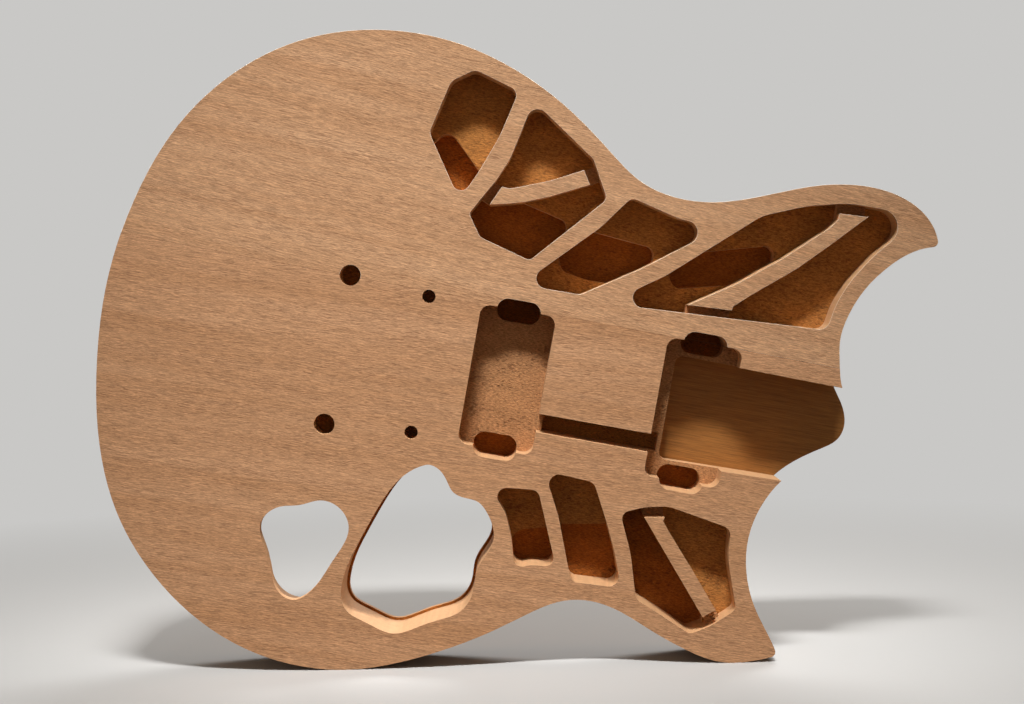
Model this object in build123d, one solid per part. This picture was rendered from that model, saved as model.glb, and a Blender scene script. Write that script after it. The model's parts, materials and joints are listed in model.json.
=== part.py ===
from build123d import *
from math import atan2, cos, radians, sin, tan
import os

# Body of an electric guitar, two boards glued edge to edge and machined, before it gets
# its cap, neck and hardware. It is drawn in its own plan and stood on its rim at the end.
# Plan: x runs along the centreline towards the neck and y across it towards the bass side,
# both from the middle of the bridge line. The front face is at z = 0, with the wood below.
# Lengths are in millimetres and angles in degrees.

# Whole body, and the size at which the lists of points below are drawn
body_length = 442.0
body_width = 351.0
drawn_length = 442.0
drawn_width = 351.0

# Wood
body_thickness = 45.0
horn_tip_radius = 3.0

# Joint between the boards
glue_line_offset = 40.2
glue_line_turn = -0.6
glue_film = 0.15

# Tailpiece studs and bridge posts
stud_spacing = 82.2
stud_to_bridge = 45.7
stud_bore = 11.4
stud_bore_depth = 19.0
post_spacing = 74.5
post_bore = 7.3
post_bore_depth = 16.0
bridge_slant = 3.3

# Pickup pockets, one for the bridge pickup and one for the neck pickup
pickup_width = 41.4
pickup_length = 76.8
pickup_corner = 5.5
pickup_depth = 17.5
ear_width = 24.0
ear_span = 87.4
ear_reach = 12.6
ear_corner = 6.0
ear_depth = 33.0
bridge_pickup_x = 47.9
neck_pickup_x = 151.0

# Channel for the pickup wires
channel_width = 10.2
channel_offset = -20.2
channel_depth = 29.0
channel_ledge = 3.0

# Neck pocket, a little wider at its inner end
neck_pocket_start = 138.0
neck_pocket_width = 58.4
neck_pocket_taper = 1.0
neck_pocket_corner = 4.5
neck_pocket_depth = 30.0

# Weight-relief chambers
chamber_depth = 18.0
chamber_deep = 30.0
notch_depth = 11.0
rib_foot = 12.0

# Openings right through the treble lower bout
back_lip_inset = 1.5
back_lip_thickness = 4.0
web_thickness = 6.5
back_pocket_reach = 6.0

# Counts of places at which a curve is followed
rim_steps = 36
outline_steps = 300


def fitted(points):
    """Points of a drawn plan, with their radii if they have them, at the body's own size."""
    along = body_length / drawn_length
    across = body_width / drawn_width
    return [(x * along, y * across, *radius) for x, y, *radius in points]


# Outline from the treble horn round the tail to the bass horn
OUTLINE_ROUND_TAIL = fitted([
    (219.8, -122.6), (207.0, -128.0), (189.0, -131.5), (169.5, -128.0), (150.5, -121.5),
    (131.5, -114.0), (114.0, -111.0), (99.5, -113.5), (83.0, -123.0), (64.5, -136.5),
    (44.5, -149.0), (24.0, -159.5), (-8.0, -171.0), (-38.0, -174.0), (-70.0, -169.0),
    (-98.0, -157.0), (-125.0, -137.0), (-148.0, -109.5), (-164.0, -74.0), (-173.0, -30.0),
    (-175.0, 14.0), (-167.5, 62.5), (-152.5, 102.5), (-125.0, 139.0), (-90.5, 163.0),
    (-52.0, 174.5), (-12.0, 175.0), (22.0, 166.5), (52.5, 152.0), (81.0, 132.0),
    (101.0, 118.5), (121.0, 113.5), (143.5, 115.0), (170.5, 124.0), (196.0, 133.5),
    (219.0, 137.5), (240.0, 135.5), (255.5, 128.0), (266.0, 112.2),
])

# Outline from the bass horn round the heel tongue back to the treble horn
OUTLINE_ROUND_HEEL = fitted([
    (266.0, 112.2), (252.0, 106.5), (240.0, 95.5), (230.5, 82.0), (224.5, 67.0),
    (222.5, 53.5), (224.5, 41.0), (228.0, 28.5), (234.0, 19.5), (238.0, 11.0),
    (238.5, 4.0), (236.5, -1.5), (227.5, -9.0), (213.0, -19.5), (204.5, -28.5),
    (197.5, -41.0), (193.5, -55.0), (193.0, -69.0), (196.5, -85.0), (204.5, -101.0),
    (213.5, -113.0), (219.8, -122.6),
])

# Straight-sided plans: each corner is x, y and the radius that the cutter leaves there.
BASS_CHAMBER_1 = fitted([
    (1.8, 162.3, 6.0), (-10.0, 154.0, 8.0), (-16.9, 124.6, 6.0), (5.4, 91.6, 5.0),
    (13.6, 109.2, 15.0), (21.0, 129.0, 60.0), (27.0, 155.0, 5.0),
])
BASS_CHAMBER_1_DEEP = fitted([
    (-21.5, 111.5, 0.0), (-7.6, 129.8, 6.0), (14.7, 107.9, 0.0), (10.3, 87.7, 0.0),
    (-21.5, 87.7, 0.0),
])
BASS_CHAMBER_2 = fitted([
    (35.8, 151.2, 6.0), (28.8, 118.5, 30.0), (23.0, 105.0, 30.0), (11.9, 85.4, 3.0),
    (20.0, 73.8, 5.0), (48.7, 66.0, 3.5), (84.4, 106.0, 4.5), (73.1, 126.2, 5.0),
])
BASS_CHAMBER_2_RIB = (
    fitted([(27.0, 102.6), (22.2, 92.1)]),
    fitted([(31.4, 94.2), (40.8, 96.9), (53.6, 102.1), (62.6, 106.6)]),
    fitted([(73.7, 112.1), (69.2, 119.3)]),
    fitted([(52.1, 110.4), (36.5, 104.2), (31.0, 102.4)]),
)
BASS_CHAMBER_2_DEEP = fitted([
    (0.3, 111.5, 0.0), (39.9, 96.9, 0.0), (65.4, 90.9, 5.0), (66.8, 77.8, 0.0),
    (49.9, 58.0, 0.0), (0.3, 58.0, 0.0),
])
BASS_CHAMBER_3 = fitted([
    (46.4, 52.5, 5.5), (79.0, 52.5, 6.0), (108.8, 71.9, 40.0), (148.4, 102.0, 6.5),
    (125.5, 102.3, 25.0), (97.3, 109.3, 5.0), (83.6, 90.5, 25.0),
])
BASS_CHAMBER_3_DEEP = fitted([
    (62.5, 76.0, 0.0), (67.2, 63.6, 6.0), (82.0, 61.3, 0.0), (100.0, 61.3, 0.0),
    (115.8, 68.0, 0.0), (115.8, 84.9, 5.0), (77.0, 88.3, 0.0),
])
BASS_CHAMBER_4 = fitted([
    (93.7, 50.4, 5.6), (123.0, 70.9, 30.0), (168.5, 111.8, 22.0), (192.0, 121.6, 60.0),
    (214.0, 127.0, 60.0), (253.3, 126.9, 10.0), (231.3, 100.0, 60.0), (221.2, 84.0, 60.0),
    (216.6, 71.0, 40.0), (214.3, 57.0, 6.0),
])
BASS_CHAMBER_4_RIB = (
    fitted([(137.7, 57.4), (161.6, 58.6)]),
    fitted([(161.8, 60.8), (170.5, 68.7), (192.4, 87.1), (207.4, 102.4)]),
    fitted([(225.2, 121.3), (209.7, 120.5)]),
    fitted([(209.7, 117.3), (205.7, 111.6), (184.1, 91.3), (162.1, 73.5)]),
)
BASS_CHAMBER_4_DEEP = fitted([
    (123.0, 77.0, 0.0), (129.8, 64.7, 6.0), (155.5, 71.0, 0.0), (166.9, 71.8, 0.0),
    (181.2, 85.0, 0.0), (181.2, 98.4, 5.0), (145.1, 88.3, 0.0), (129.2, 84.7, 0.0),
])
TREBLE_CHAMBER_1 = fitted([
    (48.9, -58.9, 5.1), (75.3, -56.2, 5.0), (92.2, -95.9, 4.5), (78.5, -97.3, 12.0),
    (70.1, -101.0, 5.0), (65.6, -84.6, 40.0), (60.2, -72.2, 20.0),
])
TREBLE_CHAMBER_1_DEEP = fitted([
    (66.0, -82.3, 9.0), (95.5, -74.8, 0.0), (95.5, -106.6, 0.0), (66.0, -106.6, 0.0),
])
TREBLE_CHAMBER_2 = fitted([
    (76.7, -45.2, 5.5), (104.5, -46.6, 6.0), (115.0, -66.6, 60.0), (122.3, -82.3, 60.0),
    (129.3, -101.1, 5.5), (101.8, -102.6, 5.0), (89.0, -69.0, 60.0),
])
TREBLE_CHAMBER_2_DEEP = fitted([
    (79.7, -76.6, 0.0), (129.2, -67.6, 0.0), (133.2, -106.6, 0.0), (89.6, -106.6, 0.0),
])
TREBLE_CHAMBER_3 = fitted([
    (121.6, -60.7, 4.5), (133.5, -55.4, 25.0), (146.5, -52.4, 20.0), (182.8, -58.6, 5.5),
    (183.7, -74.5, 40.0), (193.3, -101.8, 4.0), (182.0, -112.4, 30.0), (171.0, -119.4, 5.0),
    (138.3, -105.6, 5.0), (131.0, -81.2, 60.0),
])
TREBLE_CHAMBER_3_RIB = (
    fitted([(145.8, -58.7), (135.0, -60.8)]),
    [],
    fitted([(176.0, -109.0), (182.2, -103.8)]),
    fitted([(164.3, -82.7), (150.0, -66.6), (145.4, -61.0)]),
)
TREBLE_CHAMBER_3_DEEP = fitted([
    (114.4, -49.1, 0.0), (139.5, -49.1, 0.0), (139.5, -58.9, 0.0), (177.8, -105.1, 0.0),
    (178.8, -123.5, 0.0), (114.4, -123.5, 0.0),
])

# Curved rims of the two through openings
LARGE_OPENING_RIM = fitted([
    (12.5, -53.4), (0.0, -63.4), (-8.3, -79.3), (-15.7, -100.1), (-21.1, -126.1),
    (-18.5, -137.2), (-2.3, -144.8), (9.5, -147.6), (29.8, -138.0), (44.8, -129.4),
    (50.1, -118.0), (50.1, -105.7), (56.1, -88.5), (50.8, -74.2), (42.0, -67.6),
    (32.2, -66.9), (24.7, -59.0),
])
SMALL_OPENING_RIM = fitted([
    (-65.7, -92.3), (-70.6, -100.5), (-62.2, -120.6), (-54.5, -136.0), (-46.0, -138.8),
    (-37.6, -133.0), (-28.6, -114.7), (-23.1, -93.2), (-29.4, -85.0), (-40.9, -82.6),
    (-51.2, -87.0),
])


def cutter_plan(corners):
    """Closed plan with straight sides and the cutter's radius in each corner."""
    points = [(x, y) for x, y, radius in corners]
    radii = [radius for x, y, radius in corners]
    return make_face(FilletPolyline(*points, radius=radii, close=True))


def sharp_plan(points):
    """Closed plan with straight sides and sharp corners."""
    return make_face(Polyline(*points, close=True))


def smooth_plan(points, outset=0.0):
    """Closed plan with one smooth curve through the points for a rim, or a line beside it."""
    rim = Spline(*points, periodic=True)
    places = [step / rim_steps for step in range(rim_steps)]
    inside = make_face(rim).center()
    moved = []
    for place in places:
        point = rim.position_at(place)
        outward = rim.tangent_at(place).rotate(Axis.Z, 90)
        if outward.dot(point - inside) < 0:
            outward = -outward
        moved.append(point + outward * outset)
    return make_face(Spline(*moved, periodic=True))


def centred_plan(length, width, corner, centre_x, centre_y=0.0):
    """Rounded rectangle, its length along the centreline."""
    return Pos(centre_x, centre_y) * RectangleRounded(length, width, corner)


def sunk(plan, depth):
    """The wood that a cutter takes out under a plan, from the front face to a depth."""
    return extrude(plan, amount=depth, dir=(0, 0, -1))


def drilled(x, y, diameter, depth):
    """The wood that a flat-bottomed drill takes out from the front face."""
    return Pos(x, y, -depth / 2) * Cylinder(diameter / 2, depth)


def body_plan():
    """Outline of the body: round the tail from horn to horn, and back round the heel."""
    return Face(Wire([Spline(*OUTLINE_ROUND_TAIL), Spline(*OUTLINE_ROUND_HEEL)]))


def blank():
    """The body before anything is cut into it, with both horn tips rounded."""
    body = sunk(body_plan(), body_thickness)
    upright = body.edges().filter_by(Axis.Z)
    tips = [Vector(*OUTLINE_ROUND_TAIL[end]) for end in (0, -1)]
    corners = [upright.sort_by_distance(tip)[0] for tip in tips]
    return fillet(corners, horn_tip_radius)


def hardware_bores():
    """Bores for the two tailpiece studs and the two bridge posts."""
    cuts = []
    for side in (1, -1):
        cuts.append(drilled(-stud_to_bridge, side * stud_spacing / 2, stud_bore, stud_bore_depth))
        post_x = -side * bridge_slant / 2
        cuts.append(drilled(post_x, side * post_spacing / 2, post_bore, post_bore_depth))
    return cuts


def pickup_pocket(centre_x):
    """Pocket of one pickup, with a deeper ear at each end for its mounting leg."""
    cuts = [sunk(centred_plan(pickup_width, pickup_length, pickup_corner, centre_x), pickup_depth)]
    for side in (1, -1):
        ear_y = side * (ear_span - ear_reach) / 2
        ear = centred_plan(ear_width, ear_reach, ear_corner, centre_x, ear_y)
        cuts.append(sunk(ear, ear_depth))
    return cuts


def wire_channel():
    """Channel from the bridge pickup to the neck pickup, with a ledge where it starts."""
    start = bridge_pickup_x + pickup_width / 2
    end = neck_pickup_x - pickup_width / 2
    overlap = pickup_corner
    whole = Rectangle(end - start + 2 * overlap, channel_width)
    deep = Rectangle(end - start - channel_ledge + overlap, channel_width)
    middle = (start + end) / 2
    return [
        sunk(Pos(middle, channel_offset) * whole, pickup_depth),
        sunk(Pos(middle + (channel_ledge + overlap) / 2, channel_offset) * deep, channel_depth),
    ]


def neck_pocket():
    """Tapered pocket for the neck's heel, open at the end of the body."""
    past_heel = max(x for x, y in OUTLINE_ROUND_HEEL) + neck_pocket_corner
    inner = neck_pocket_width / 2
    outer = inner - (past_heel - neck_pocket_start) * tan(radians(neck_pocket_taper))
    plan = cutter_plan([
        (neck_pocket_start, -inner, neck_pocket_corner), (past_heel, -outer, 0.0),
        (past_heel, outer, 0.0), (neck_pocket_start, inner, neck_pocket_corner),
    ])
    return [sunk(plan, neck_pocket_depth)]


def plain_chamber(rim, deep):
    """Chamber with a deeper part in its floor."""
    plan = cutter_plan(rim)
    return [sunk(plan, chamber_depth), sunk(plan & cutter_plan(deep), chamber_deep)]


def foot(rib_end, middle):
    """Plan of the foot that carries one end of a rib on to the chamber's wall."""
    near, far = (Vector(*corner) for corner in rib_end)
    outward = (far - near).normalized().rotate(Axis.Z, 90)
    if outward.dot(near + far - 2 * middle) < 0:
        outward = -outward
    step = outward * rib_foot
    return sharp_plan([near, far, far + step, near + step])


def ribbed_chamber(rim, rib, deep):
    """Chamber with a rib across it, cut free of both walls down to the notch depth."""
    near_end, one_side, far_end, other_side = rib
    plan = cutter_plan(rim)
    rib_plan = sharp_plan([*near_end, *one_side, *far_end, *other_side])
    feet = foot(near_end, rib_plan.center()) + foot(far_end, rib_plan.center())
    floor = plan - (rib_plan + feet)
    return [
        sunk(plan - rib_plan, notch_depth),
        sunk(floor, chamber_depth),
        sunk(floor & cutter_plan(deep), chamber_deep),
    ]


def through_openings():
    """The large opening with its lip at the back, and the small one in its thin web."""
    behind_web = smooth_plan(SMALL_OPENING_RIM, back_pocket_reach)
    return [
        sunk(smooth_plan(LARGE_OPENING_RIM), body_thickness - back_lip_thickness),
        sunk(smooth_plan(LARGE_OPENING_RIM, -back_lip_inset), body_thickness),
        sunk(smooth_plan(SMALL_OPENING_RIM), body_thickness),
        sunk(Pos(0, 0, -web_thickness) * behind_web, body_thickness - web_thickness),
    ]


def machining():
    """Every bore, pocket, chamber and opening that is cut into the two boards."""
    cuts = hardware_bores() + wire_channel() + neck_pocket() + through_openings()
    cuts += pickup_pocket(bridge_pickup_x) + pickup_pocket(neck_pickup_x)
    cuts += plain_chamber(BASS_CHAMBER_1, BASS_CHAMBER_1_DEEP)
    cuts += ribbed_chamber(BASS_CHAMBER_2, BASS_CHAMBER_2_RIB, BASS_CHAMBER_2_DEEP)
    cuts += plain_chamber(BASS_CHAMBER_3, BASS_CHAMBER_3_DEEP)
    cuts += ribbed_chamber(BASS_CHAMBER_4, BASS_CHAMBER_4_RIB, BASS_CHAMBER_4_DEEP)
    cuts += plain_chamber(TREBLE_CHAMBER_1, TREBLE_CHAMBER_1_DEEP)
    cuts += plain_chamber(TREBLE_CHAMBER_2, TREBLE_CHAMBER_2_DEEP)
    cuts += ribbed_chamber(TREBLE_CHAMBER_3, TREBLE_CHAMBER_3_RIB, TREBLE_CHAMBER_3_DEEP)
    return cuts


def strip(lower_edge, upper_edge):
    """All the wood between two lines along the glue line, measured across it from there."""
    width = upper_edge - lower_edge
    past_ends = 2 * body_length
    past_faces = 3 * body_thickness
    block = Pos(0, lower_edge + width / 2) * Box(past_ends, width, past_faces)
    return blank() & Pos(0, glue_line_offset) * Rot(0, 0, glue_line_turn) * block


def resting_lean(plan):
    """Turn in the plan that brings the two lowest places of the rim to one level."""
    places = [step / outline_steps for step in range(outline_steps + 1)]
    rim = [edge.position_at(place) for edge in plan.edges() for place in places]
    under = []
    for point in sorted((spot.X, spot.Y) for spot in rim):
        while len(under) > 1:
            (x0, y0), (x1, y1) = under[-2:]
            if (x1 - x0) * (point[1] - y0) > (y1 - y0) * (point[0] - x0):
                break
            under.pop()
        under.append(point)
    middle = plan.center().X
    for (x0, y0), (x1, y1) in zip(under, under[1:]):
        if x0 <= middle <= x1:
            return atan2(y1 - y0, x1 - x0)


def standing(pieces):
    """Stand the pieces on their rim, front towards -Y, with the origin below the middle."""
    lean = resting_lean(body_plan())
    upright = Plane((0, 0, 0), x_dir=(cos(lean), 0, -sin(lean)), z_dir=(0, -1, 0))
    stood = {name: upright.location * piece for name, piece in pieces.items()}
    box = Compound(list(stood.values())).bounding_box()
    middle = box.center()
    return {name: Pos(-middle.X, -middle.Y, -box.min.Z) * piece for name, piece in stood.items()}


pieces = {
    "bass_side_board": strip(glue_film / 2, body_width),
    "treble_side_board": strip(-body_width, -glue_film / 2),
    "glue_line": strip(-glue_film / 2, glue_film / 2),
}
for cut in machining():
    pieces = {name: piece - cut for name, piece in pieces.items()}

os.makedirs("parts", exist_ok=True)
for name, piece in standing(pieces).items():
    export_step(piece, f"parts/{name}.step")
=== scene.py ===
"""Looks of a bare machined electric guitar body, in two boards of mahogany glued edge to edge."""

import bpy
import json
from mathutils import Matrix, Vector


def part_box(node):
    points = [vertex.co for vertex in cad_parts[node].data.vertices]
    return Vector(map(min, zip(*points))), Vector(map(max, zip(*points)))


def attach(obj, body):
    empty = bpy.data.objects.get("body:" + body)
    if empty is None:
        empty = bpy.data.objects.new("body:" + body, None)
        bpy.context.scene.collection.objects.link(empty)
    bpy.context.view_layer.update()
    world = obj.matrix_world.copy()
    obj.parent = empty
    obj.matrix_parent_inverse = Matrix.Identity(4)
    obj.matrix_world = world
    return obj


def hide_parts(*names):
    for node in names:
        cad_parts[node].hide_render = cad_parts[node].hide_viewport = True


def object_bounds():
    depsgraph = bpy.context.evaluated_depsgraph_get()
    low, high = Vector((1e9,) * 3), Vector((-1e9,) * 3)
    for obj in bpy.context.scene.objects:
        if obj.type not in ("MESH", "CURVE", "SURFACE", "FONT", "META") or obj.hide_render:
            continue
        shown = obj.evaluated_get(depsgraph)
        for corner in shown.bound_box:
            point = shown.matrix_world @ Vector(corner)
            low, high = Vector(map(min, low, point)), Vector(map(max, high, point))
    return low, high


bl_info = {
    "name": "Bare Guitar Body",
    "version": (1, 0, 0),
    "blender": (4, 5, 0),
    "location": "3D View > Sidebar > Guitar Body",
    "description": "Dresses a machined mahogany guitar body and sets up its studio",
    "category": "Object",
}

import json
from math import atan2, cos, pi, radians, sin

import bmesh
import bpy
from bpy.props import FloatProperty, FloatVectorProperty, PointerProperty
from mathutils import Matrix, Vector

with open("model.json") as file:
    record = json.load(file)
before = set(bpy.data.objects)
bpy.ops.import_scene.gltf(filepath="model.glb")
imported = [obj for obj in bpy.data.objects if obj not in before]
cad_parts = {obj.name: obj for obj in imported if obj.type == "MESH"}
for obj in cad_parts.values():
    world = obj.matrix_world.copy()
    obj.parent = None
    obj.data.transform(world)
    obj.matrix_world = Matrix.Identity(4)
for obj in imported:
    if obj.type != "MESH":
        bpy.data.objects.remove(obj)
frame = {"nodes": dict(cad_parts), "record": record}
cad_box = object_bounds()

MM = 0.001
MOUNTS = {mount["name"]: mount for mount in frame["record"]["mounts"]}
BOARDS = ("bass_side_board", "treble_side_board")
PLANED_SLOT, MILLED_SLOT, ROUTED_SLOT, ARRIS_HIGHLIGHT_SLOT, NECK_FLOOR_SLOT = range(5)

# Each board's pore length in mm, and how far its grain turns clockwise from the centreline
BOARD_GRAIN = {
    "bass_side_board": (5.5, radians(3.5)),
    "treble_side_board": (4.0, radians(-1.5)),
}

# Depths below the front over which a routed floor's tone steps darker, as painted shade
BELOW_PICKUP_FLOORS = (17.6 * MM, 17.9 * MM)
BELOW_CHANNEL_FLOOR = (29.2 * MM, 29.8 * MM)

# The painted highlight on an edge fades out between these depths below the front and the back
ARRIS_HIGHLIGHT_FADE = (1.0 * MM, 1.5 * MM)

# A copied board's points nearer than this merge, and its faces flatter than this join
MERGE_DISTANCE = 0.002 * MM
FLAT_ANGLE = radians(0.2)

# An edge between faces at more than the first angle is rounded, unless both its ends lie this
# near the joint, and shading breaks at the second
ROUNDED_ANGLE = radians(25.0)
SHADING_ANGLE = radians(60.0)
JOINT_REACH = 0.12 * MM

# How far a face's middle may be from a floor or the front, and still belong to it
LEVEL_TOLERANCE = 0.05 * MM
NECK_FLOOR_REACH = 75 * MM

# The studio, in metres. The floor reaches to the sides and the front, starts to bend up behind
# the body with the radius SWEEP_BEND, and fades into plain backdrop over FLOOR_FADE.
SWEEP_REACH = 3.0
SWEEP_START = 1.6
SWEEP_BEND = 0.8
SWEEP_STEPS = 16
KEY_SIZE = (0.5, 0.16)
KEY_SPREAD = radians(28.0)
BACK_SIZE = (1.0, 0.6)
BACK_OFFSET = (0.35, 1.2, 1.1)
FILL_TINT = (1.0, 0.88, 0.72, 1.0)
FLOOR_FADE = (0.2, 0.8)


# Places on the body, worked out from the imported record


def mount_place(name):
    """Where a bore or face of the body is, in metres."""
    return Vector(MOUNTS[name]["pos_m"])


def body_lean():
    """How far the body leans in its own plane, from the line through its two stud bores."""
    across = mount_place("tailpiece_stud_bass") - mount_place("tailpiece_stud_treble")
    return atan2(across.x, across.z)


def linear(hex_colour):
    """Linear colour from an sRGB hex value."""
    parts = [int(hex_colour[i:i + 2], 16) / 255 for i in (0, 2, 4)]
    return [p / 12.92 if p <= 0.04045 else ((p + 0.055) / 1.055) ** 2.4 for p in parts]


# Sizes and colours that a user would change


def colour(name, description, hex_colour):
    """A colour setting with its default from an sRGB hex value."""
    return FloatVectorProperty(
        name=name, description=description, subtype="COLOR", size=3, min=0.0, max=1.0,
        default=linear(hex_colour),
    )


class GuitarBodyWood(bpy.types.PropertyGroup):
    """Edges and wood of the body."""

    arris_highlight: FloatProperty(
        name="Arris", description="Width of the small round left on every machined edge",
        default=0.65 * MM, min=0.1 * MM, max=1.5 * MM, unit="LENGTH",
    )
    bass_pale: colour("Bass board, pale", "Pale bands of the bass side board", "C69A74")
    bass_dark: colour("Bass board, dark", "Dark bands of the bass side board", "BA8C65")
    treble_pale: colour("Treble board, pale", "Pale bands of the treble side board", "C0926C")
    treble_dark: colour("Treble board, dark", "Dark bands of the treble side board", "B5865F")
    pores: colour("Pores", "Open pores on the planed face", "855A3F")
    # The arris colour is a painted highlight: the pale line where every edge catches the light
    arris_highlight_tone: colour("Arris", "Pale crushed fibres along every edge", "FBEBD6")
    wall_tone: colour("Walls", "Smooth walls that a cutter's side has left", "D7A979")
    # The routed tones are rough wood, darker than the face, with painted shade in them: pale on
    # the shallow pickup floors, darker and warmer on the deepest ones
    routed_pale_lit: colour("Pale routed wood", "Rough floors under the pickups", "AD7C52")
    routed: colour("Routed wood", "Rough floors of the chambers", "AC743A")
    routed_deep_shade: colour("Deep routed wood", "The deepest floors", "A05F24")
    torn: colour("Torn fibres", "Dark pits between torn fibres on a routed floor", "5E3219")
    # The neck floor's tone is darkened as painted shade, for the shadow over most of that floor
    neck_floor: colour("Neck pocket floor", "The smooth floor under the neck", "94622F")
    glue: colour("Glue", "Hardened glue between the boards", "7A5236")


class GuitarBodyStudio(bpy.types.PropertyGroup):
    """Camera, lamps and floor."""

    camera_distance: FloatProperty(
        name="Camera distance", description="From the camera to the front face",
        default=1.030, min=0.3, max=5.0, unit="LENGTH",
    )
    camera_right: FloatProperty(
        name="Camera right", description="Camera to the right of the body's middle",
        default=-0.0028, min=-1.0, max=1.0, unit="LENGTH",
    )
    camera_height: FloatProperty(
        name="Camera height", description="Camera above the floor",
        default=0.2113, min=0.0, max=2.0, unit="LENGTH",
    )
    camera_pitch: FloatProperty(
        name="Camera pitch", description="How far the camera looks down",
        default=radians(2.174), min=-1.0, max=1.0, subtype="ANGLE",
    )
    camera_roll: FloatProperty(
        name="Camera roll", description="How far the camera is turned clockwise",
        default=radians(1.04), min=-0.2, max=0.2, subtype="ANGLE",
    )
    focal_length: FloatProperty(
        name="Focal length", description="Of the lens, in mm, on a 36 mm wide sensor",
        default=66.7, min=20.0, max=200.0,
    )
    key_power: FloatProperty(
        name="Key power", description="Of the softbox above the front",
        default=1.42, min=0.0, max=500.0, unit="POWER",
    )
    key_elevation: FloatProperty(
        name="Key elevation", description="Height of the softbox above the horizon",
        default=radians(60.0), min=0.1, max=1.5, subtype="ANGLE",
    )
    key_distance: FloatProperty(
        name="Key distance", description="From the softbox to the middle of the body",
        default=1.75, min=0.5, max=5.0, unit="LENGTH",
    )
    key_left: FloatProperty(
        name="Key to the left", description="Softbox to the left of the body's middle",
        default=0.085, min=-2.0, max=2.0, unit="LENGTH",
    )
    key_aim: FloatVectorProperty(
        name="Key aim", description="Where the softbox points, from the middle of the body",
        default=(-0.03, 0.0, -0.09), subtype="XYZ", unit="LENGTH",
    )
    back_power: FloatProperty(
        name="Back power", description="Of the softbox above the back",
        default=20.0, min=0.0, max=500.0, unit="POWER",
    )
    fill: FloatProperty(
        name="Fill", description="Strength of the even light from all round",
        default=0.24, min=0.0, max=2.0,
    )
    floor: colour("Floor", "Pale studio floor", "B9B8B6")
    backdrop: colour("Backdrop", "Pale backdrop, as the camera sees it", "C9C8C6")
    floor_return: colour("Floor return", "What the floor throws back on to the body", "75685C")


# Materials


def add_node(tree, kind, inputs=None, **settings):
    """Add a node with its settings; each input is a value, or the output that feeds it."""
    node = tree.nodes.new(kind)
    for name, value in settings.items():
        setattr(node, name, value)
    for name, value in (inputs or {}).items():
        socket = node.inputs[name]
        if isinstance(value, bpy.types.NodeSocket):
            tree.links.new(value, socket)
        else:
            socket.default_value = value
    return node


def wood_tree(name, turn=0.0):
    """A new material's node tree, with the wood's own directions: x along the grain.

    The grain may turn clockwise from the body's centreline.
    """
    material = bpy.data.materials.new(name)
    material.use_nodes = True
    tree = material.node_tree
    tree.nodes.clear()
    place = add_node(tree, "ShaderNodeTexCoord").outputs["Object"]
    grain = add_node(
        tree, "ShaderNodeMapping",
        {"Vector": place, "Rotation": (0.0, -body_lean() - turn, 0.0)},
    ).outputs["Vector"]
    return material, tree, grain


def stretched_noise(tree, vector, length, depth, width, **inputs):
    """Noise whose cells have these sizes in mm, along the grain, into the wood and across."""
    scale = (1 / (length * MM), 1 / (depth * MM), 1 / (width * MM))
    cells = add_node(tree, "ShaderNodeMapping", {"Vector": vector, "Scale": scale})
    settings = {"Vector": cells.outputs["Vector"], "Scale": 1.0, **inputs}
    return add_node(tree, "ShaderNodeTexNoise", settings).outputs["Fac"]


def remap(tree, value, low, high, to_low=0.0, to_high=1.0):
    """A value from one range to another, held at its ends."""
    inputs = {
        "Value": value, "From Min": low, "From Max": high, "To Min": to_low, "To Max": to_high,
    }
    return add_node(tree, "ShaderNodeMapRange", inputs).outputs["Result"]


def mixed(tree, factor, first, second, blend="MIX"):
    """One colour over another by a factor."""
    node = add_node(tree, "ShaderNodeMix", data_type="RGBA", blend_type=blend)
    for socket, value in zip((node.inputs[0], node.inputs[6], node.inputs[7]),
                             (factor, first, second)):
        if isinstance(value, bpy.types.NodeSocket):
            tree.links.new(value, socket)
        else:
            socket.default_value = value
    return node.outputs[2]


def rgba(colour_value):
    """A colour setting as a colour with alpha."""
    return (*colour_value, 1.0)


def wavy(tree, grain, reach, length, width):
    """The grain's directions, wandering to and fro by a reach in mm."""
    drift = stretched_noise(tree, grain, length, width, width, Detail=1.0)
    shift = remap(tree, drift, 0.0, 1.0, -reach * MM, reach * MM)
    offset = add_node(tree, "ShaderNodeCombineXYZ", {"Y": shift, "Z": shift})
    return add_node(
        tree, "ShaderNodeVectorMath", {0: grain, 1: offset.outputs["Vector"]}, operation="ADD",
    ).outputs["Vector"]


def finish_wood(tree, base, roughness, height, depth):
    """Shader and bump of raw wood: no film on it, so it is rough and only faintly glossy."""
    bump = add_node(
        tree, "ShaderNodeBump", {"Height": height, "Distance": depth * MM, "Strength": 1.0},
    )
    shader = add_node(
        tree, "ShaderNodeBsdfPrincipled",
        {
            "Base Color": base, "Roughness": roughness, "IOR": 1.45,
            "Specular IOR Level": 0.3, "Normal": bump.outputs[0],
        },
    )
    add_node(tree, "ShaderNodeOutputMaterial", {"Surface": shader.outputs[0]})


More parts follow.
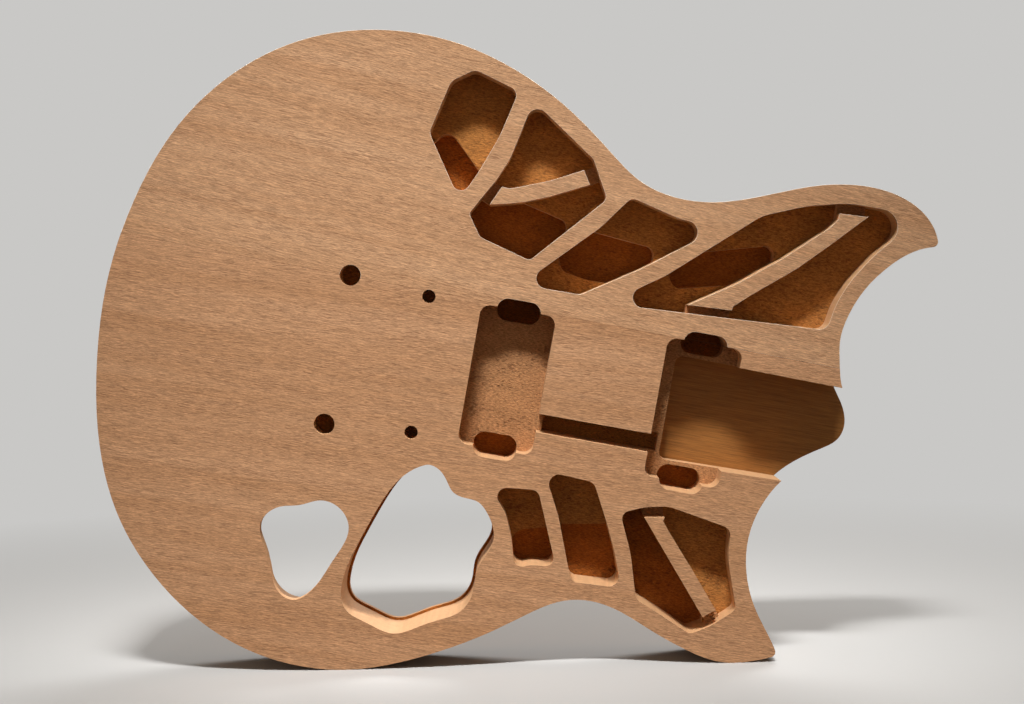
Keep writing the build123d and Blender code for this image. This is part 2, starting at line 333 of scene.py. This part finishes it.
def planed_mahogany(name, pale, dark, pore_length, turn):
    """Mahogany, planed and lightly sanded: broad soft bands, fine fibres and open pores.

    The eye gets fine short streaks, all along the grain, over bands a centimetre or two wide.
    The pores are drawn a little wider than their real 0.2 mm, so that they show in the render.
    """
    wood = bpy.context.scene.guitar_body_wood
    material, tree, grain = wood_tree(name, turn)
    grain = wavy(tree, grain, 1.6, 70.0, 24.0)
    bands = stretched_noise(tree, grain, 240.0, 60.0, 11.0, Detail=3.0, Roughness=0.55)
    fibres = stretched_noise(tree, grain, 6.5, 1.0, 0.32, Detail=1.0, Roughness=0.5)
    fuzz = stretched_noise(tree, grain, 1.8, 0.8, 0.3, Detail=1.0, Roughness=0.5)
    pores = stretched_noise(tree, grain, pore_length, 0.7, 0.32, Detail=1.0, Roughness=0.4)
    gather = stretched_noise(tree, grain, 70.0, 14.0, 6.0, Detail=2.0)
    vessels = stretched_noise(tree, grain, 42.0, 1.2, 0.7, Detail=1.0)
    share = add_node(
        tree, "ShaderNodeMath", {0: pores, 1: remap(tree, gather, 0.3, 0.7, -0.05, 0.06)},
        operation="ADD",
    ).outputs[0]
    pore_mask = remap(tree, share, 0.58, 0.70)
    vessel_mask = remap(tree, vessels, 0.70, 0.80)
    base = mixed(tree, remap(tree, bands, 0.34, 0.66), rgba(dark), rgba(pale))
    base = mixed(tree, 1.0, base, remap(tree, fibres, 0.3, 0.7, 0.72, 1.26), "MULTIPLY")
    base = mixed(tree, 1.0, base, remap(tree, fuzz, 0.3, 0.7, 0.82, 1.18), "MULTIPLY")
    base = mixed(tree, remap(tree, pore_mask, 0.0, 1.0, 0.0, 0.45), base, rgba(wood.pores))
    base = mixed(tree, remap(tree, vessel_mask, 0.0, 1.0, 0.0, 0.25), base, rgba(wood.pores))
    relief = add_node(
        tree, "ShaderNodeMath", {0: remap(tree, fibres, 0.0, 1.0, 0.0, 0.7), 1: fuzz},
        operation="ADD",
    ).outputs[0]
    height = add_node(tree, "ShaderNodeMath", {0: relief, 1: pore_mask}, operation="SUBTRACT")
    roughness = remap(tree, pore_mask, 0.0, 1.0, 0.66, 0.85)
    finish_wood(tree, base, roughness, height.outputs[0], 0.06)
    return material


def milled_mahogany(name, pale):
    """Mahogany where a cutter's side has passed: smooth and pale, with faint upright marks.

    The eye gets clean end grain on the round stretches and long fibres on the straight ones.
    """
    wood = bpy.context.scene.guitar_body_wood
    material, tree, grain = wood_tree(name)
    fibres = stretched_noise(tree, grain, 7.0, 1.2, 1.0, Detail=3.0, Roughness=0.6)
    marks = stretched_noise(tree, grain, 2.0, 40.0, 2.0, Detail=2.0)
    base = mixed(tree, 0.6, rgba(pale), rgba(wood.wall_tone))
    base = mixed(tree, 1.0, base, remap(tree, fibres, 0.25, 0.75, 0.84, 1.10), "MULTIPLY")
    base = mixed(tree, 1.0, base, remap(tree, marks, 0.3, 0.7, 0.93, 1.05), "MULTIPLY")
    finish_wood(tree, base, 0.7, fibres, 0.12)
    return material


def arris_painted_highlight(name):
    """A painted highlight on every rounded edge: a thin pale line at the front and the back,
    uneven along it.
    """
    wood = bpy.context.scene.guitar_body_wood
    material, tree, grain = wood_tree(name)
    wear_and_highlight = stretched_noise(tree, grain, 5.0, 2.0, 2.0, Detail=2.0)
    base = mixed(
        tree, 1.0, rgba(wood.arris_highlight_tone), remap(tree, wear_and_highlight, 0.3, 0.7, 0.85, 1.08), "MULTIPLY")
    depth = add_node(tree, "ShaderNodeSeparateXYZ", {"Vector": grain}).outputs["Y"]
    off_middle = add_node(
        tree, "ShaderNodeMath", {0: depth}, operation="ABSOLUTE").outputs[0]
    half = -mount_place("cap_face").y
    outside = remap(tree, off_middle, half - ARRIS_HIGHLIGHT_FADE[1], half - ARRIS_HIGHLIGHT_FADE[0])
    # Deeper in, the painted highlight gives way to the pale routed tone
    base = mixed(tree, outside, rgba(wood.routed_pale_lit), base)
    finish_wood(tree, base, 0.6, wear_and_highlight, 0.05)
    return material


def routed_mahogany(name):
    """Mahogany cut by a router's end: torn fibres and fuzz, darker and warmer deeper down as
    painted shade.
    """
    wood = bpy.context.scene.guitar_body_wood
    material, tree, grain = wood_tree(name)
    depth = add_node(tree, "ShaderNodeSeparateXYZ", {"Vector": grain}).outputs["Y"]
    front = mount_place("cap_face").y
    fuzz = stretched_noise(tree, grain, 1.7, 1.3, 0.5, Detail=2.0, Roughness=0.7)
    tears = stretched_noise(tree, grain, 2.6, 3.0, 1.1, Detail=3.0, Roughness=0.6)
    crowds = stretched_noise(tree, grain, 17.0, 17.0, 11.0, Detail=1.0)
    blotches = stretched_noise(tree, grain, 26.0, 26.0, 12.0, Detail=2.0)
    crowded = add_node(
        tree, "ShaderNodeMath", {0: tears, 1: remap(tree, crowds, 0.3, 0.7, -0.1, 0.06)},
        operation="ADD",
    ).outputs[0]
    torn = remap(tree, crowded, 0.58, 0.68)
    # Painted shade: the floor's tone steps darker and warmer with its depth below the front
    in_chambers = remap(tree, depth, *(front + below for below in BELOW_PICKUP_FLOORS))
    deepest = remap(tree, depth, *(front + below for below in BELOW_CHANNEL_FLOOR))
    base = mixed(tree, in_chambers, rgba(wood.routed_pale_lit), rgba(wood.routed))
    base = mixed(tree, deepest, base, rgba(wood.routed_deep_shade))
    base = mixed(tree, 1.0, base, remap(tree, blotches, 0.3, 0.7, 0.86, 1.1), "MULTIPLY")
    base = mixed(tree, 1.0, base, remap(tree, fuzz, 0.28, 0.72, 0.5, 1.5), "MULTIPLY")
    base = mixed(tree, remap(tree, torn, 0.0, 1.0, 0.0, 0.45), base, rgba(wood.torn))
    height = add_node(
        tree, "ShaderNodeMath", {0: fuzz, 1: remap(tree, torn, 0.0, 1.0, 0.0, 0.6)},
        operation="SUBTRACT",
    ).outputs[0]
    finish_wood(tree, base, 0.85, height, 0.5)
    return material


def smooth_floor_mahogany(name):
    """The neck pocket's floor, cut in long passes: smooth, with fine long grain, and darkened as
    painted shade.
    """
    wood = bpy.context.scene.guitar_body_wood
    material, tree, grain = wood_tree(name)
    fibres = stretched_noise(tree, grain, 14.0, 3.0, 0.45, Detail=3.0, Roughness=0.65)
    bands = stretched_noise(tree, grain, 90.0, 30.0, 7.0, Detail=2.0)
    base = mixed(
        tree, 1.0, rgba(wood.neck_floor), remap(tree, fibres, 0.3, 0.7, 0.68, 1.3),
        "MULTIPLY")
    base = mixed(tree, 1.0, base, remap(tree, bands, 0.3, 0.7, 0.92, 1.07), "MULTIPLY")
    finish_wood(tree, base, 0.6, fibres, 0.08)
    return material


# The body


def leave_edit():
    """Go to object mode with nothing selected."""
    if bpy.context.object and bpy.context.object.mode != "OBJECT":
        bpy.ops.object.mode_set(mode="OBJECT")
    bpy.ops.object.select_all(action="DESELECT")


def make_active(piece):
    """Select one piece only, and make it the active one."""
    leave_edit()
    piece.select_set(True)
    bpy.context.view_layer.objects.active = piece


def copy_of_node(node, name):
    """A merged copy of a machined board, its flat faces made whole again."""
    leave_edit()
    mesh = frame["nodes"][node].data.copy()
    piece = bpy.data.objects.new(name, mesh)
    bpy.context.scene.collection.objects.link(piece)
    make_active(piece)
    if mesh.has_custom_normals:
        bpy.ops.mesh.customdata_custom_splitnormals_clear()
    bpy.ops.object.mode_set(mode="EDIT")
    bpy.ops.mesh.select_all(action="SELECT")
    bpy.ops.mesh.remove_doubles(threshold=MERGE_DISTANCE)
    bpy.ops.mesh.dissolve_limited(angle_limit=FLAT_ANGLE, use_dissolve_boundaries=False)
    bpy.ops.object.mode_set(mode="OBJECT")
    return piece


def on_glue_line(point):
    """Whether a point lies on the joint between the boards, seen from the front."""
    low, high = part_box("glue_line")
    along = Vector((high.x - low.x, low.z - high.z)).normalized()
    middle = (low + high) / 2
    away = Vector((point.x - middle.x, point.z - middle.z))
    return abs(away.x * along.y - away.y * along.x) < JOINT_REACH


def round_edges(piece, width):
    """Round every machined edge, but not the two faces that are glued together.

    The rounds are shaded smooth, and the level faces flat right up to them.
    """
    mesh = piece.data
    weights = mesh.attributes.new("bevel_weight_edge", "FLOAT", "EDGE")
    shape = bmesh.new()
    shape.from_mesh(mesh)
    shape.edges.ensure_lookup_table()
    for edge in shape.edges:
        sharp = len(edge.link_faces) == 2 and edge.calc_face_angle() > ROUNDED_ANGLE
        glued = all(on_glue_line(vertex.co) for vertex in edge.verts)
        weights.data[edge.index].value = 1.0 if sharp and not glued else 0.0
    shape.free()
    bevel = piece.modifiers.new("arris_highlight", "BEVEL")
    bevel.limit_method = "WEIGHT"
    bevel.width = width
    bevel.segments = 2
    # The rounds take the arris material, which holds the painted highlight
    bevel.material = ARRIS_HIGHLIGHT_SLOT
    make_active(piece)
    bpy.ops.object.modifier_apply(modifier=bevel.name)
    bpy.ops.object.shade_smooth_by_angle(angle=SHADING_ANGLE)
    flatten = piece.modifiers.new("flat_faces", "WEIGHTED_NORMAL")
    flatten.weight = 100
    flatten.keep_sharp = True
    bpy.ops.object.modifier_apply(modifier=flatten.name)
    normals = [corner.vector.copy() for corner in mesh.corner_normals]
    for face in mesh.polygons:
        if abs(face.normal.y) > 0.999:
            for corner in face.loop_indices:
                normals[corner] = face.normal.copy()
    mesh.normals_split_custom_set(normals)


def paint_by_place(piece, materials):
    """Planed front and back, milled walls, routed floors, and the neck pocket's own floor."""
    piece.data.materials.clear()
    for material in materials:
        piece.data.materials.append(material)
    front = mount_place("cap_face").y
    back = mount_place("back_face").y
    neck_floor = mount_place("neck_pocket_floor")
    for face in piece.data.polygons:
        depth = face.center.y
        level = abs(face.normal.y) > 0.7
        under_neck = (face.center - neck_floor).length < NECK_FLOOR_REACH
        if min(abs(depth - front), abs(depth - back)) < LEVEL_TOLERANCE:
            face.material_index = PLANED_SLOT
        elif level and under_neck and abs(depth - neck_floor.y) < LEVEL_TOLERANCE:
            face.material_index = NECK_FLOOR_SLOT
        else:
            face.material_index = ROUTED_SLOT if level else MILLED_SLOT


class GUITARBODY_OT_dress_boards(bpy.types.Operator):
    """Dress the two machined boards with rounded edges and mahogany."""

    bl_idname = "guitar_body.dress_boards"
    bl_label = "Dress Boards"

    def execute(self, context):
        wood = context.scene.guitar_body_wood
        tones = {
            "bass_side_board": ("bass", wood.bass_pale, wood.bass_dark),
            "treble_side_board": ("treble", wood.treble_pale, wood.treble_dark),
        }
        for node in BOARDS:
            side, pale, dark = tones[node]
            piece = copy_of_node(node, f"{side}_board_rounded")
            paint_by_place(piece, (
                planed_mahogany(f"planed_{side}", pale, dark, *BOARD_GRAIN[node]),
                milled_mahogany(f"milled_{side}", pale),
                routed_mahogany(f"routed_{side}"),
                # The arris material is the painted highlight on the edges
                arris_painted_highlight(f"arris_{side}"),
                smooth_floor_mahogany(f"neck_floor_{side}"),
            ))
            round_edges(piece, wood.arris_highlight)
            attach(piece, "root")
            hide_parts(node)
        return {"FINISHED"}


class GUITARBODY_OT_dress_glue(bpy.types.Operator):
    """Give the glue between the boards its hardened brown film."""

    bl_idname = "guitar_body.dress_glue"
    bl_label = "Dress Glue Line"

    def execute(self, context):
        wood = context.scene.guitar_body_wood
        material, tree, grain = wood_tree("hardened_wood_glue")
        spread = stretched_noise(tree, grain, 12.0, 3.0, 3.0, Detail=2.0)
        base = mixed(
            tree, 1.0, rgba(wood.glue), remap(tree, spread, 0.2, 0.8, 0.8, 1.2), "MULTIPLY")
        finish_wood(tree, base, 0.45, spread, 0.05)
        film = frame["nodes"]["glue_line"]
        film.data.materials.clear()
        film.data.materials.append(material)
        return {"FINISHED"}


# The studio


def add_sweep(name, material):
    """A floor that curves up into a backdrop behind the body."""
    leave_edit()
    bpy.ops.mesh.primitive_plane_add(size=2.0)
    sweep = bpy.context.object
    sweep.name = name
    sweep.scale = (SWEEP_REACH, (SWEEP_REACH + SWEEP_START) / 2, 1.0)
    sweep.location = (0.0, (SWEEP_START - SWEEP_REACH) / 2, 0.0)
    bpy.ops.object.transform_apply(location=True, rotation=True, scale=True)
    bpy.ops.object.mode_set(mode="EDIT")
    mesh = bmesh.from_edit_mesh(sweep.data)
    for edge in mesh.edges:
        edge.select_set(all(vertex.co.y > SWEEP_START - 0.01 for vertex in edge.verts))
    mesh.select_flush_mode()
    bmesh.update_edit_mesh(sweep.data)
    length = SWEEP_BEND * pi / 2 / SWEEP_STEPS
    for step in range(SWEEP_STEPS):
        turn = pi / 2 * (step + 0.5) / SWEEP_STEPS
        bpy.ops.mesh.extrude_region_move(
            TRANSFORM_OT_translate={"value": (0.0, length * cos(turn), length * sin(turn))})
    bpy.ops.mesh.extrude_region_move(
        TRANSFORM_OT_translate={"value": (0.0, 0.0, SWEEP_REACH)})
    bpy.ops.object.mode_set(mode="OBJECT")
    bpy.ops.object.shade_smooth()
    sweep.data.materials.append(material)


def seen_directly(tree):
    """1 for what the camera sees, also in or through a surface, and 0 for light on its way."""
    path = add_node(tree, "ShaderNodeLightPath").outputs
    seen = path["Is Camera Ray"]
    for kind in ("Is Glossy Ray", "Is Transmission Ray"):
        seen = add_node(
            tree, "ShaderNodeMath", {0: seen, 1: path[kind]}, operation="MAXIMUM").outputs[0]
    return seen


def floor_paint(studio):
    """Matt pale paint, with a faint unevenness where a roller has passed.

    The eye sees it pale, and as pale far behind as near, but it throws less light back on to
    the body than it shows.
    """
    material = bpy.data.materials.new("matt_floor_paint")
    material.use_nodes = True
    tree = material.node_tree
    tree.nodes.clear()
    place = add_node(tree, "ShaderNodeTexCoord").outputs["Object"]
    patches = stretched_noise(tree, place, 300.0, 300.0, 300.0, Detail=3.0)
    base = mixed(
        tree, 1.0, rgba(studio.floor), remap(tree, patches, 0.3, 0.7, 0.985, 1.015), "MULTIPLY")
    seen = seen_directly(tree)
    level = mixed(tree, seen, rgba(studio.floor_return), base)
    paint = add_node(
        tree, "ShaderNodeBsdfPrincipled", {"Base Color": level, "Roughness": 0.8, "IOR": 1.45})
    reach = add_node(tree, "ShaderNodeVectorMath", {0: place}, operation="LENGTH")
    backdrop = add_node(
        tree, "ShaderNodeEmission", {"Color": rgba(studio.backdrop), "Strength": 1.0})
    share = add_node(
        tree, "ShaderNodeMath",
        {0: seen, 1: remap(tree, reach.outputs["Value"], *FLOOR_FADE)}, operation="MULTIPLY")
    blend = add_node(tree, "ShaderNodeMixShader", {0: share.outputs[0]})
    tree.links.new(paint.outputs[0], blend.inputs[1])
    tree.links.new(backdrop.outputs[0], blend.inputs[2])
    add_node(tree, "ShaderNodeOutputMaterial", {"Surface": blend.outputs[0]})
    return material


class GUITARBODY_OT_set_stage(bpy.types.Operator):
    """Set up the floor, the lamps and the camera."""

    bl_idname = "guitar_body.set_stage"
    bl_label = "Set Stage"

    def execute(self, context):
        studio = context.scene.guitar_body_studio
        add_sweep("studio_sweep", floor_paint(studio))
        middle = (cad_box[0] + cad_box[1]) / 2
        self.add_key(studio, middle)
        self.add_back_light(studio, middle)
        self.add_fill(context.scene, studio)
        self.add_camera(context.scene, studio)
        context.scene.view_settings.view_transform = "Standard"
        return {"FINISHED"}

    def add_softbox(self, name, place, target, size, power):
        """A rectangular softbox at a place, which points at a target."""
        leave_edit()
        turn = (target - place).to_track_quat("-Z", "Y").to_euler()
        bpy.ops.object.light_add(type="AREA", location=place, rotation=turn)
        lamp = bpy.context.object
        lamp.name = name
        lamp.data.shape = "RECTANGLE"
        lamp.data.size, lamp.data.size_y = size
        lamp.data.energy = power
        return lamp

    def add_key(self, studio, middle):
        """A wide low softbox above the front, which leaves the upper half of each pocket dark."""
        tilt = studio.key_elevation
        away = Vector((0.0, -cos(tilt), sin(tilt))) * studio.key_distance
        away.x = -studio.key_left
        lamp = self.add_softbox(
            "key_softbox", middle + away, middle + Vector(studio.key_aim), KEY_SIZE,
            studio.key_power)
        lamp.data.spread = KEY_SPREAD

    def add_back_light(self, studio, middle):
        """A softbox above the back, which shows the back and draws the rim's upper edges."""
        self.add_softbox(
            "back_softbox", middle + Vector(BACK_OFFSET), middle, BACK_SIZE, studio.back_power)

    def add_fill(self, scene, studio):
        """Even light from all round, a little warm, that the camera sees as pale backdrop."""
        world = bpy.data.worlds.new("even_fill")
        scene.world = world
        world.use_nodes = True
        tree = world.node_tree
        tree.nodes.clear()
        light = add_node(
            tree, "ShaderNodeBackground", {"Color": FILL_TINT, "Strength": studio.fill})
        backdrop = add_node(
            tree, "ShaderNodeBackground", {"Color": rgba(studio.backdrop), "Strength": 1.0})
        blend = add_node(tree, "ShaderNodeMixShader", {0: seen_directly(tree)})
        tree.links.new(light.outputs[0], blend.inputs[1])
        tree.links.new(backdrop.outputs[0], blend.inputs[2])
        add_node(tree, "ShaderNodeOutputWorld", {"Surface": blend.outputs[0]})

    def add_camera(self, scene, studio):
        """The photograph's viewpoint: square to the front, looking slightly down."""
        leave_edit()
        front = mount_place("cap_face").y
        place = (studio.camera_right, front - studio.camera_distance, studio.camera_height)
        level = Matrix.Rotation(pi / 2 - studio.camera_pitch, 3, "X")
        turn = level @ Matrix.Rotation(-studio.camera_roll, 3, "Z")
        bpy.ops.object.camera_add(location=place, rotation=turn.to_euler())
        camera = bpy.context.object
        camera.data.sensor_width = 36.0
        camera.data.lens = studio.focal_length
        camera.data.clip_end = 20.0
        scene.camera = camera


class GUITARBODY_PT_panel(bpy.types.Panel):
    """Lists the steps that build the looks of the guitar body."""

    bl_label = "Guitar Body"
    bl_idname = "GUITARBODY_PT_panel"
    bl_space_type = "VIEW_3D"
    bl_region_type = "UI"
    bl_category = "Guitar Body"

    def draw(self, context):
        for step in STEPS:
            self.layout.operator(step.bl_idname)
        for group in (context.scene.guitar_body_wood, context.scene.guitar_body_studio):
            box = self.layout.box()
            for setting in group.__annotations__:
                box.prop(group, setting)


STEPS = (
    GUITARBODY_OT_dress_boards,
    GUITARBODY_OT_dress_glue,
    GUITARBODY_OT_set_stage,
)
CLASSES = (GuitarBodyWood, GuitarBodyStudio, *STEPS, GUITARBODY_PT_panel)


def register():
    """Register the classes and give the scene its two groups of settings."""
    for each in CLASSES:
        bpy.utils.register_class(each)
    bpy.types.Scene.guitar_body_wood = PointerProperty(type=GuitarBodyWood)
    bpy.types.Scene.guitar_body_studio = PointerProperty(type=GuitarBodyStudio)


def unregister():
    """Take the settings and the classes away again."""
    del bpy.types.Scene.guitar_body_studio
    del bpy.types.Scene.guitar_body_wood
    for each in reversed(CLASSES):
        bpy.utils.unregister_class(each)


def main():
    """Build the looks."""
    register()
    bpy.ops.guitar_body.dress_boards()
    bpy.ops.guitar_body.dress_glue()
    bpy.ops.guitar_body.set_stage()


if __name__ == "__main__":
    main()
